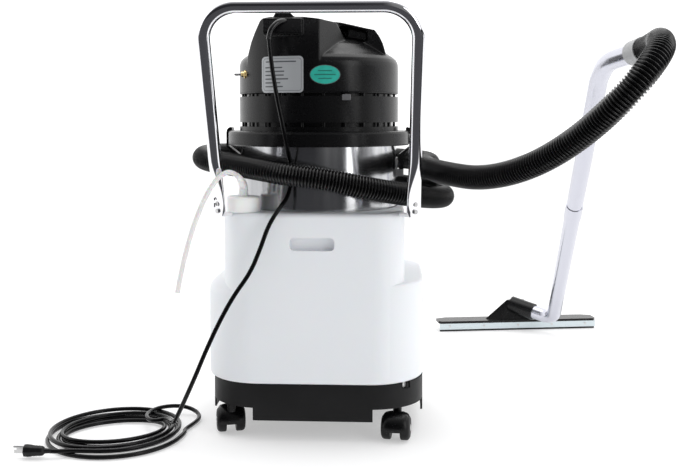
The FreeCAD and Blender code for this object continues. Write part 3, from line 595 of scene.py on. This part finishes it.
# ---------------------------------------------------------------- cords and hose

LEAD_D, HOSE_D, TUBE_D = 0.0086, 0.046, 0.0096
RIB_PITCH, RIB_DEPTH = 0.0061, 0.0042
RIB_RISE = 0.62       # the share of a rib's pitch on which it rises
HOSE_STEP = 0.00076   # eight rings of the hose's mesh to a rib

# Routes are in the machine's millimetres.
LEAD_ROUTE = [
    (-82.5, -196, 797), (-80, -200, 768), (-74, -206, 726), (-66, -211, 682),
    (-57, -211, 640), (-51, -205, 604), (-46, -192, 572), (-43, -169, 545), (-42, -169, 513),
    (-50, -184, 482), (-65, -206, 462), (-83, -216, 432), (-96, -226, 392),
    (-115, -236, 344), (-147, -244, 300), (-176, -250, 246), (-200, -252, 194),
    (-221, -250, 144), (-244, -244, 94), (-266, -222, 50), (-282, -180, 30),
]
RELIEF_ROUTE = [(-54, -170, 829), (-62, -181, 828.5), (-73, -190, 819), (-81, -195.5, 806),
                (-82.5, -196.5, 791)]
LOOP_ROUTE = [
    (-302, -136, 26), (-330, -148, 22), (-352, -120, 22), (-354, -74, 21), (-332, -36, 20),
    (-294, -20, 17), (-262, -34, 10), (-248, -66, 5.5), (-256, -108, 5), (-266, -144, 5),
]
HOSE_ROUTE = [
    (15, 215, 490), (105, 215, 489), (192, 166, 486), (250, 80, 480), (272, -22, 474),
    (228, -115, 480), (140, -182, 497), (38, -212, 520), (-64, -202, 534), (-150, -146, 545),
    (-232, -88, 553), (-252, 8, 560), (-216, 110, 560), (-142, 196, 556), (-46, 240, 552),
    (58, 242, 549), (154, 198, 547), (221, 112, 545), (240, 8, 543), (216, -92, 541),
    (258, -186, 533), (322, -266, 527), (396, -352, 552), (468, -432, 606), (534, -500, 682),
    (588, -480, 750), (612, -384, 774), (636, -262, 778), (632, -195, 770),
]
INTAKE_ROUTE = [
    (-139.5, -155, 498.2), (-139.5, -158, 506), (-140.5, -169, 513), (-142, -187, 522),
    (-147, -208, 532), (-158, -229, 538), (-172, -244, 530), (-185, -251, 513),
    (-196.5, -254, 493), (-207, -254.5, 470), (-219, -253, 441), (-230, -251, 408),
    (-240, -250, 372), (-248, -249, 338), (-254, -248, 306),
]
# The coil lies between two ovals, given by their half widths: its rim, and its hole, which is
# turned by some degrees.
COIL_CENTRE, COIL_HALF, COIL_HOLE, COIL_TURN = (-401, -168), (140, 152), (98, 66), 28.0
COIL_START, COIL_TURNS, COIL_STEPS = math.radians(2), 5.28, 14
# How far in from the coil's rim the lead lies, from 0 to 1, and its height, after some turns.
COIL_LEVELS = [(0.0, 0.02, 4.6), (1.0, 0.36, 4.6), (2.0, 0.72, 4.6), (2.8, 0.96, 5.4),
               (3.3, 0.8, 13.2), (4.2, 0.42, 13.4), (4.9, 0.16, 13.4), (5.3, 0.1, 13.4)]
COIL_EXIT = [(-452, -300, 12), (-478, -309, 13)]
PLUG_BACK = (-498, -309, 14)


def level_at(turns):
    """How far in the lead lies and its height after a number of turns, between COIL_LEVELS."""
    for (t0, f0, z0), (t1, f1, z1) in zip(COIL_LEVELS, COIL_LEVELS[1:]):
        if turns <= t1:
            s = (turns - t0) / (t1 - t0)
            return f0 + (f1 - f0) * s, z0 + (z1 - z0) * s
    return COIL_LEVELS[-1][1:]


def coil_route():
    """Points of the lead's coil, clockwise from above, from the rim inwards and back out on top."""
    tilt = Matrix.Rotation(math.radians(COIL_TURN), 2)
    route = []
    for i in range(int(COIL_TURNS * COIL_STEPS) + 1):
        t = i / COIL_STEPS
        inward, z = level_at(t)
        angle = COIL_START - 2 * math.pi * t
        uneven = 1 + 0.02 * math.sin(3.1 * t + 0.7) + 0.015 * math.sin(7.3 * t)
        outer = Vector((COIL_HALF[0] * math.cos(angle), COIL_HALF[1] * math.sin(angle)))
        within = angle - math.radians(COIL_TURN)
        inner = tilt @ Vector((COIL_HOLE[0] * math.cos(within), COIL_HOLE[1] * math.sin(within)))
        place = outer.lerp(inner, inward) * uneven
        route.append((COIL_CENTRE[0] + place.x, COIL_CENTRE[1] + place.y, z))
    return route


def cord_line(route, steps, spacing):
    """Evenly spaced points along a smooth line, from a route in the machine's millimetres."""
    return even_line(spline_line([at(*place) for place in route], steps), spacing)


def make_lead():
    """The mains lead, from its strain relief down to the coil on the floor and the plug."""
    route = LEAD_ROUTE + LOOP_ROUTE + coil_route() + COIL_EXIT + [PLUG_BACK]
    line = cord_line(route, 12, 0.004)
    lead = new_piece("mains_lead", swept_mesh("mains_lead", line, LEAD_D / 2, 12), "lead")
    smooth(lead)
    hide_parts("power_cord", "power_cord_coil")
    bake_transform(lead)
    return lead, line, lengths_along(line)[-1]


def hose_radius(length):
    """Corrugations: each rib rises slowly and falls fast, over a smaller core."""
    turn = length / RIB_PITCH % 1.0
    rise = 0.5 - 0.5 * math.cos(math.pi * min(1.0, turn / RIB_RISE))
    fall = 0.5 + 0.5 * math.cos(math.pi * max(0.0, (turn - RIB_RISE) / (1 - RIB_RISE)))
    return HOSE_D / 2 - RIB_DEPTH * (1 - min(rise, fall) ** 0.7)


def make_hose():
    """The corrugated hose, from the elbow round the drum and out to the wand's collar."""
    line = cord_line(HOSE_ROUTE, 40, HOSE_STEP)
    mesh = swept_mesh("suction_hose", line, hose_radius, 32)
    hose = new_piece("suction_hose", mesh, "hose", "machine")
    smooth(hose, 80)
    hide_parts("vacuum_hose")
    round(lengths_along(line)[-1], 2)


def make_intake(sleeve):
    """The clear tube, from its sleeve on the cap to its bare end."""
    line = cord_line(INTAKE_ROUTE, 16, 0.003)
    tube = new_piece("intake_hose", swept_mesh("intake_hose", line, TUBE_D / 2, 20), "tube",
                     "machine")
    smooth(tube)
    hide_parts("intake_tube")
    round(lengths_along(line)[-1], 3)


# ---------------------------------------------------------------- vacuum head

HEAD_R, POST_R = 168.0, 162.0
# Outlines are in the machine's millimetres: X-Z if seen from behind, X-Y if seen from above.
DOME_PROFILE = [
    (0, 689), (166, 689), (168, 690.5), (168, 745), (167, 753), (163.5, 760.5), (157, 766.5),
    (148, 772), (137, 780), (122, 790), (106, 797.5), (86, 803), (50, 806), (0, 807),
]
TOWER_FRONT = [
    (-142, 736), (-138.5, 766), (-137, 771), (-130, 792.5), (-121, 812), (-109, 834),
    (-103, 838.5), (-88, 840), (-20, 838), (10, 834.5), (43, 831), (62, 794), (62, 736),
]
TOWER_PLAN = [(-160, -180), (6, -180), (13, -167), (61, -84), (61, 150), (-160, 150)]
POST_FRONT = [
    (30, 736), (30, 838), (49, 836), (76, 830), (102, 824), (119, 820.5), (129, 807), (136, 793),
    (141, 776), (148, 736),
]
POCKET_FRONT = [(36, 798), (40, 827), (60, 828.5), (103, 818), (103, 796)]
HOLLOW_FRONT = [(36, 800), (40, 827), (64, 826), (60, 800)]
HOOD_FRONT = [(-97, 803), (-97, 834.5), (-20, 834.5), (-20, 803)]
HORN_FRONT = [(-82, 830), (-73, 845.5), (-44, 845.5), (-28, 830)]
# How far each of these forms reaches from back to front, and the plan's prism from low to high.
TOWER_Y, POST_Y, POCKET_Y, HOLLOW_Y = (-180, 150), (-62, 150), (-90, -40), (-60, 20)
HOOD_Y, HORN_Y = (-174, -90), (-169, -120)
PLAN_Z = (700, 900)
SKIN_VOXEL = 0.0018
# The openings for the two switches, through the front of the cover.
SWITCH_X, WINDOW_HALF, WINDOW_Y, WINDOW_Z = 34, 13.2, (140, 180), (699.8, 736.2)
# A thin dark disc on the dome, painted shade for a small air hole.
HOLE_PROFILE = [(0, 0), (2.6, 0), (2.6, 1.5), (0, 1.5)]
HOLE_PLACE, HOLE_AXIS = (43, -124.4, 780), (0.32, -0.86, 0.4)
# The corners and edge of a small grey block on the dome, a painted reflection.
REFLECTION_LOW, REFLECTION_HIGH, REFLECTION_EDGE = (57, -161, 675), (74, -150, 686.5), 1.2
PATCH_STEP, PATCH_SINK = 4, 0.6


def column(radius):
    """A round column about the machine's axis, which the towers are trimmed to."""
    profile = [(0, 600), (radius, 600), (radius, 900), (0, 900)]
    return lathe_mesh("column", profile, at(0, 0, 0), steps=180)


def make_head_shell():
    """The head's cover: dome, tower, post, cord hood and horn, merged into one moulded skin."""
    tower = loose(prism_mesh("tower", TOWER_FRONT, *TOWER_Y))
    boolean(tower, prism_mesh("plan", TOWER_PLAN, *PLAN_Z, "Z"), "INTERSECT")
    boolean(tower, column(HEAD_R), "INTERSECT")

    post = loose(prism_mesh("post", POST_FRONT, *POST_Y))
    boolean(post, column(POST_R), "INTERSECT")
    boolean(post, prism_mesh("pocket", POCKET_FRONT, *POCKET_Y), "DIFFERENCE")
    boolean(post, prism_mesh("hollow", HOLLOW_FRONT, *HOLLOW_Y), "DIFFERENCE")

    hood = prism_mesh("hood", HOOD_FRONT, *HOOD_Y)
    horn = prism_mesh("horn", HORN_FRONT, *HORN_Y)
    dome = lathe_mesh("dome", DOME_PROFILE, at(0, 0, 0), steps=180)
    skin = joined("head_shell", [dome, tower.data, post.data, hood, horn])
    shell = new_piece("head_shell", skin, "gloss", "head")
    bpy.data.objects.remove(tower)
    bpy.data.objects.remove(post)
    remesh = shell.modifiers.new("skin", "REMESH")
    remesh.mode, remesh.voxel_size = "VOXEL", SKIN_VOXEL
    soften = shell.modifiers.new("soften", "SMOOTH")
    soften.factor, soften.iterations = 0.5, 2
    apply_modifiers(shell)
    for x in (-SWITCH_X, SWITCH_X):
        window = box_mesh("window", at(x - WINDOW_HALF, WINDOW_Y[0], WINDOW_Z[0]),
                          at(x + WINDOW_HALF, WINDOW_Y[1], WINDOW_Z[1]))
        boolean(shell, window, "DIFFERENCE")
    shell.data.materials.clear()
    shell.data.materials.append(MATERIALS["gloss"])
    smooth(shell, 60)
    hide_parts("head_cover", "cord_hood")


def make_head_details():
    """A dark disc in the dome, painted shade for a small air hole, and below it a small grey block,
    a painted reflection.
    """
    # A dark disc laid on the dome: painted shade where a small air hole is.
    hole = lathe_mesh("air_hole_shade", HOLE_PROFILE, at(*HOLE_PLACE), HOLE_AXIS, 16)
    new_piece("air_hole_shade", hole, "dark", "head")
    # A small grey block on the dome: a painted reflection.
    grey_reflection = box_mesh("painted_reflection_patch", at(*REFLECTION_LOW), at(*REFLECTION_HIGH), REFLECTION_EDGE * MM)
    smooth(new_piece("painted_reflection_patch", grey_reflection, "grey_reflection", "head"))


def curved_patch(name, outline, thick):
    """A thin plate wrapped on the head, let into it a little, from an X-Z outline."""
    form = bmesh.new()
    form.faces.new([form.verts.new((x, 0, z)) for x, z in outline])
    x = min(x for x, _ in outline) + PATCH_STEP
    end = max(x for x, _ in outline)
    while x < end:
        geometry = form.verts[:] + form.edges[:] + form.faces[:]
        bmesh.ops.bisect_plane(form, geom=geometry, plane_co=(x, 0, 0), plane_no=(1, 0, 0))
        x += PATCH_STEP
    made = bmesh.ops.extrude_face_region(form, geom=form.faces[:])
    raised = {v for v in made["geom"] if isinstance(v, bmesh.types.BMVert)}
    for vert in form.verts:
        r = HEAD_R + (thick if vert in raised else -PATCH_SINK)
        vert.co = at(vert.co.x, -math.sqrt(r * r - vert.co.x ** 2), vert.co.z)
    return closed_mesh(name, form)


def round_rectangle(low, high, radius, steps=6):
    """The outline of a rectangle with round corners, between its lowest and highest corner."""
    points = []
    for (x, z), turn in (((high[0] - radius, high[1] - radius), 0),
                         ((low[0] + radius, high[1] - radius), 90),
                         ((low[0] + radius, low[1] + radius), 180),
                         ((high[0] - radius, low[1] + radius), 270)):
        for i in range(steps + 1):
            angle = math.radians(turn + 90 * i / steps)
            points.append((x + radius * math.cos(angle), z + radius * math.sin(angle)))
    return points


def ellipse(centre, half):
    """The outline of an ellipse, from its centre and its two half widths."""
    steps = 40
    return [(centre[0] + half[0] * math.cos(2 * math.pi * i / steps),
             centre[1] + half[1] * math.sin(2 * math.pi * i / steps)) for i in range(steps)]


PLATE_LOW, PLATE_HIGH, PLATE_BORDER = (-104.7, 689.9), (-18.4, 761.5), 4.6
OVAL_CENTRE, OVAL_HALF, OVAL_BORDER = (24.0, 725.0), (30.0, 19.2), 1.3
# The bars on the labels, each with its height and its left and right end.
PLATE_BARS = [(751, -96, -33), (739.5, -97, -61), (732, -97, -57), (724.5, -97, -58),
              (717, -97, -49), (709.5, -97, -65), (702, -97, -60)]
OVAL_BARS = [(732.5, 10, 38), (725, 3, 45), (717.5, 11, 37)]


def make_labels():
    """A blank rating plate with a border and ruled bars, and an oval sticker. No lettering.

    Each layer stands a little further out than the one that it lies on.
    """
    def layer(name, outline, thick, finish):
        return new_piece(name, curved_patch(name, outline, thick), finish, "head")

    def bars(name, places, half, corner, thick, finish):
        strips = [curved_patch("bar", round_rectangle((left, z - half), (right, z + half),
                                                      corner, 2), thick)
                  for z, left, right in places]
        new_piece(name, joined(name, strips), finish, "head")

    def inset(border, corner):
        return round_rectangle([v + border for v in PLATE_LOW], [v - border for v in PLATE_HIGH],
                               corner)

    plate = layer("rating_label", inset(0, 8), 0.7, "label")
    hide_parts("rating_plate")
    layer("label_line", inset(PLATE_BORDER - 0.8, 5.4), 0.85, "ink")
    layer("label_field", inset(PLATE_BORDER, 4.8), 1.0, "label")
    bars("label_bars", PLATE_BARS, 1.3, 0.6, 1.15, "ink")

    rim = layer("oval_rim", ellipse(OVAL_CENTRE, OVAL_HALF), 0.6, "ink")
    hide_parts("oval_label")
    inner = [half - OVAL_BORDER for half in OVAL_HALF]
    layer("oval_face", ellipse(OVAL_CENTRE, inner), 0.8, "green")
    bars("oval_bars", OVAL_BARS, 1.0, 0.5, 0.95, "shade")


OUTLET_PLACE = (-134, -84, 729)
HEXAGON_PROFILE = [(6.5, 0), (6.5, 3), (8.4, 3.6), (8.4, 12.5), (7.6, 13.6), (5.2, 14),
                   (5.2, 19.5)]
BARB_PROFILE = [(3.4, 19), (3.4, 22), (2.7, 23.5), (2.7, 27), (3.2, 28), (2.4, 33.4), (1.4, 34)]


def make_outlet():
    """The solution outlet: a brass hexagon with a plain nickel barb."""
    def turned(name, profile, steps, finish):
        mesh = lathe_mesh(name, profile, at(*OUTLET_PLACE), (-1, 0, 0), steps)
        return new_piece(name, mesh, finish, "head")

    hexagon = turned("outlet_hexagon", HEXAGON_PROFILE, 6, "brass")
    smooth(hexagon, 20)
    smooth(turned("outlet_barb", BARB_PROFILE, 24, "zinc"))
    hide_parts("solution_outlet")


RELIEF_R, RELIEF_TAPER = 6.2, 1.2
LIP_R, LIP_LENGTH = 0.5, 0.004


def make_lead_relief():
    """The lead's moulded strain relief: it bends down out of the hood and ends in a small lip."""
    line = cord_line(RELIEF_ROUTE, 16, 0.0015)
    total = lengths_along(line)[-1]

    def radius(length):
        lip = max(0.0, length - total + LIP_LENGTH) / LIP_LENGTH
        return (RELIEF_R - RELIEF_TAPER * length / total + LIP_R * lip) * MM

    relief = new_piece("lead_relief", swept_mesh("lead_relief", line, radius, 24), "hose",
                       "head")
    smooth(relief, 60)
    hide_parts("cord_relief")


# ---------------------------------------------------------------- push handle

# Millimetres. The foot and the top are the right leg's, before the shift to the right.
HANDLE_SHIFT = Vector((8, 0, 0))
HANDLE_FOOT, HANDLE_TOP = Vector((190, -192, 470)), Vector((196, -338, 839.5))
HANDLE_BEND, HANDLE_R = 64.0, 12.5
# Heights: the tube begins to flatten, is wholly flat, and ends.
FLAT_START, FLAT_TOP, FLAT_LOW = 560.0, 486.0, 449.0
FLAT_WIDE, FLAT_THIN, FLAT_SQUARE = 19.0, 3.2, 0.45
UPRIGHT_ABOVE_FOOT, LEG_ABOVE_FLAT, END_SHRINK = 8, 30, 0.72
# The slots in the left flat, drawn as dark boxes of painted shade, each with its height above the
# floor and its length.
HANDLE_SLOTS, SLOT_HALF, SLOT_EDGE = [(482, 5), (470, 8)], (1.6, 0.6), 0.4
SLOT_FROM_FOOT = (-6.5, -0.2)
SECTION_STEPS, LEG_STEPS, STRAIGHT_STEPS, BEND_STEPS = 40, 14, 12, 16


def handle_section(across, normal, squash):
    """Corners of the tube's section: round at 0, pressed to a wide thin strip at 1."""
    wide = HANDLE_R + (FLAT_WIDE - HANDLE_R) * squash
    thin = HANDLE_R + (FLAT_THIN - HANDLE_R) * squash
    power = 1.0 - FLAT_SQUARE * squash
    corners = []
    for i in range(SECTION_STEPS):
        angle = 2 * math.pi * i / SECTION_STEPS
        c, s = math.cos(angle), math.sin(angle)
        corners.append(across * math.copysign(abs(c) ** power, c) * wide
                       + normal * math.copysign(abs(s) ** power, s) * thin)
    return corners


def handle_line():
    """The left half's centre line from its low end, as (point, how flat the tube is) pairs."""
    foot, corner = (Vector((-v.x, v.y, v.z)) for v in (HANDLE_FOOT, HANDLE_TOP))
    up = (corner - foot).normalized()
    level = Vector((1, 0, 0))
    line = []
    for i in range(LEG_STEPS + 1):
        z = FLAT_LOW + (FLAT_START + LEG_ABOVE_FLAT - FLAT_LOW) * i / LEG_STEPS
        if z < foot.z + UPRIGHT_ABOVE_FOOT:
            place = Vector((foot.x, foot.y, z))
        else:
            place = foot + up * ((z - foot.z) / up.z)
        share = min(1.0, max(0.0, (FLAT_START - z) / (FLAT_START - FLAT_TOP)))
        line.append((place, share * share * (3 - 2 * share)))

    turn = up.angle(level)
    flat_end = line[-1][0]
    start = corner - up * (HANDLE_BEND * math.tan(turn / 2))
    for i in range(1, STRAIGHT_STEPS):
        line.append((flat_end.lerp(start, i / STRAIGHT_STEPS), 0.0))
    middle = corner + (level - up).normalized() * (HANDLE_BEND / math.cos(turn / 2))
    spin = up.cross(level).normalized()
    for i in range(BEND_STEPS + 1):
        bend = Matrix.Rotation(turn * i / BEND_STEPS, 3, spin)
        line.append((middle + bend @ (start - middle), 0.0))
    return line


def make_push_handle():
    """One bent tube, its two ends pressed flat where they are bolted on."""
    line = handle_line()
    places = [place for place, _ in line]
    tangents = [(after - before).normalized()
                for before, after in zip(places[:1] + places, places[1:])]
    tangents.append(Vector((1, 0, 0)))
    outward = Vector((-1, -1, 0)).normalized()
    rings = []
    for (place, squash), tangent in zip(line, tangents):
        across = tangent.cross(outward).normalized()
        normal = across.cross(tangent).normalized()
        shrink = 1.0 if rings else END_SHRINK
        rings.append([place + offset * shrink
                      for offset in handle_section(across, normal, squash)])
    rings += [[Vector((-v.x, v.y, v.z)) for v in ring] for ring in reversed(rings)]
    skin = skin_mesh("tube", [[at(*(v + HANDLE_SHIFT)) for v in ring] for ring in rings])
    handle = new_piece("push_handle", joined("push_handle", [skin]), "chrome",
                       "machine")
    smooth(handle, 50)
    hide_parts("handle_tube")

    # Dark boxes on the left flat: painted shade for its slots.
    slots = []
    for z, height in HANDLE_SLOTS:
        half = Vector((*SLOT_HALF, height / 2)) * MM
        slot = box_mesh("slot", -half, half, SLOT_EDGE * MM)
        place = at(-HANDLE_FOOT.x + HANDLE_SHIFT.x + SLOT_FROM_FOOT[0],
                   HANDLE_FOOT.y + SLOT_FROM_FOOT[1], z)
        slot.transform(Matrix.Translation(place) @ Matrix.Rotation(math.radians(-45), 4, "Z")
                       @ Matrix.Translation((0, -FLAT_THIN * MM, 0)))
        slots.append(slot)
    new_piece("handle_slot_shade", joined("handle_slot_shade", slots), "dark", "machine")


# ---------------------------------------------------------------- small fittings

PLUG_PROFILE = [(4.6, -14), (5.0, -6), (5.6, -1), (8.6, 1), (9.8, 4), (10.4, 9), (9.9, 12),
                (10.8, 14), (10.3, 17), (11.2, 19), (10.7, 22), (12, 25), (12.6, 32), (12, 37.4),
                (9, 38)]


def make_plug():
    """The moulded plug: a ribbed boot, a faceted grip and a flat face with three pins."""
    mesh = lathe_mesh("plug_grip", PLUG_PROFILE, at(*PLUG_BACK), (-1, 0, 0), 8)
    plug = new_piece("plug_grip", mesh, "rubber", "machine")
    edge = plug.modifiers.new("edge", "BEVEL")
    edge.width, edge.segments, edge.limit_method = 0.0011, 3, "ANGLE"
    edge.angle_limit = math.radians(25)
    apply_modifiers(plug)
    smooth(plug, 35)
    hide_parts("plug_body")
    return plug


WHEEL_PROFILE = [(4.4, 0), (23.4, 0), (25, 1.6), (25, 11), (24.4, 14), (22.6, 16.6), (19.4, 18.4),
                 (15, 19), (7.6, 19.2), (7.2, 18.2), (4.4, 18)]
BARREL_PROFILE = [(0, -28.3), (19, -28.3), (24.5, -26), (28.6, -21), (30.6, -14), (31.4, -5),
                  (31.4, 5), (30.6, 14), (28.6, 21), (24.5, 26), (19, 28.3), (0, 28.3)]
HUB_PROFILE = [(7.2, 0), (7.2, 0.7), (5, 1.4), (0, 1.8)]
STEM_PROFILE = [(0, 46), (8.8, 46), (8.8, 61.5), (5.4, 62.5), (5.4, 103.5), (0, 104)]
CASTER_CORNERS = {"rl": (-1, -1), "rr": (1, -1), "fl": (-1, 1), "fr": (1, 1)}
STEM_X, STEM_Y = 168, 147
WHEEL_INSIDE, HUB_INSIDE = 9.9, 18.3
WHEEL_HOLLOW_R, GAP_R, WEB_R, AXLE_R = 25.9, 24, 8, 3.9


def make_casters():
    """Rounded wheels, a barrel hood over them and a bright hub outside each."""
    for corner, (sx, sy) in CASTER_CORNERS.items():
        name = f"caster_{corner}"
        middles = {}
        for side in ("left", "right"):
            wheel_low, wheel_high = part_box(f"{name}_wheel_{side}")
            middles[side] = (wheel_low + wheel_high) / 2
        centre = (middles["left"] + middles["right"]) / 2
        make_hood(name, centre, middles["right"] - centre, at(sx * STEM_X, sy * STEM_Y, 0))
        for side, middle in middles.items():
            make_wheel(name, side, centre, (middle - centre).normalized())


def make_wheel(name, side, centre, out):
    """One wheel and its hub. The wheel's body in the record is the one that rolls."""
    node = f"{name}_wheel_{side}"
    inner = centre + out * (WHEEL_INSIDE * MM)
    tread = lathe_mesh(node, WHEEL_PROFILE, inner, out, 56)
    wheel = new_piece(f"{name}_tread_{side}", tread, "grained", NODE_BODY[node])
    smooth(wheel)
    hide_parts(node)
    hub = lathe_mesh("hub", HUB_PROFILE, inner + out * (HUB_INSIDE * MM), out, 28)
    smooth(new_piece(f"{name}_hub_{side}", hub, "zinc", NODE_BODY[node]), 30)


def make_hood(name, centre, axle, stem_foot):
    """A barrel round the axle, open below, with a slot between the wheels, and its stem."""
    def disc(radius, low, high, steps):
        profile = [(0, low), (radius, low), (radius, high), (0, high)]
        return lathe_mesh("disc", profile, centre, axle, steps)

    hood = loose(lathe_mesh("hood", BARREL_PROFILE, centre, axle, 72))
    for low, high in ((-30, -9), (9, 30)):
        boolean(hood, disc(WHEEL_HOLLOW_R, low, high, 72), "DIFFERENCE")
    below = box_mesh("below", centre + Vector((-60, -60, -60)) * MM,
                     centre + Vector((60, 60, -3)) * MM)
    boolean(hood, below, "DIFFERENCE")
    boolean(hood, disc(GAP_R, -9.2, 9.2, 56), "DIFFERENCE")

    web = disc(WEB_R, -1.6, 1.6, 32)
    axle_bar = disc(AXLE_R, -26, 26, 24)
    spine = box_mesh("spine", centre + Vector((-1.4, -2.4, 0)) * MM,
                     centre + Vector((1.4, 2.4, 29)) * MM, 0.4 * MM)
    stem = lathe_mesh("stem", STEM_PROFILE, stem_foot)
    merged = joined(f"{name}_hood", [hood.data, web, axle_bar, spine, stem])
    bpy.data.objects.remove(hood)
    body = new_piece(f"{name}_hood", merged, "gloss", NODE_BODY[f"{name}_body"])
    smooth(body, 35)
    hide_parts(f"{name}_body")


SLEEVE_LENGTH, SLEEVE_STRAIGHT, SLEEVE_CONE = 0.058, 0.012, 0.044
SLEEVE_R, SLEEVE_TAPER = 8.6, 3.3


def make_intake_sleeve():
    """The stub that the intake tube is pushed over, thick at the cap and tapering into it."""
    line = cord_line(INTAKE_ROUTE, 16, 0.002)
    part = [p for p, length in zip(line, lengths_along(line)) if length <= SLEEVE_LENGTH]

    def radius(length):
        share = min(1.0, max(0.0, (length - SLEEVE_STRAIGHT) / SLEEVE_CONE))
        return (SLEEVE_R - SLEEVE_TAPER * share) * MM

    sleeve = new_piece("intake_sleeve", swept_mesh("intake_sleeve", part, radius, 28), "cap",
                       "machine")
    smooth(sleeve, 50)
    return sleeve


# ---------------------------------------------------------------- everything, in order

make_camera()
make_stage()
paint_nodes()
make_head_shell()
make_head_details()
make_labels()
make_outlet()
make_lead_relief()
make_push_handle()
plug = make_plug()
make_casters()
lead, lead_line, lead_length = make_lead()
make_hose()
make_intake(make_intake_sleeve())

for node in NODES.values():
    if not node.hide_render:
        smooth(node, 30)
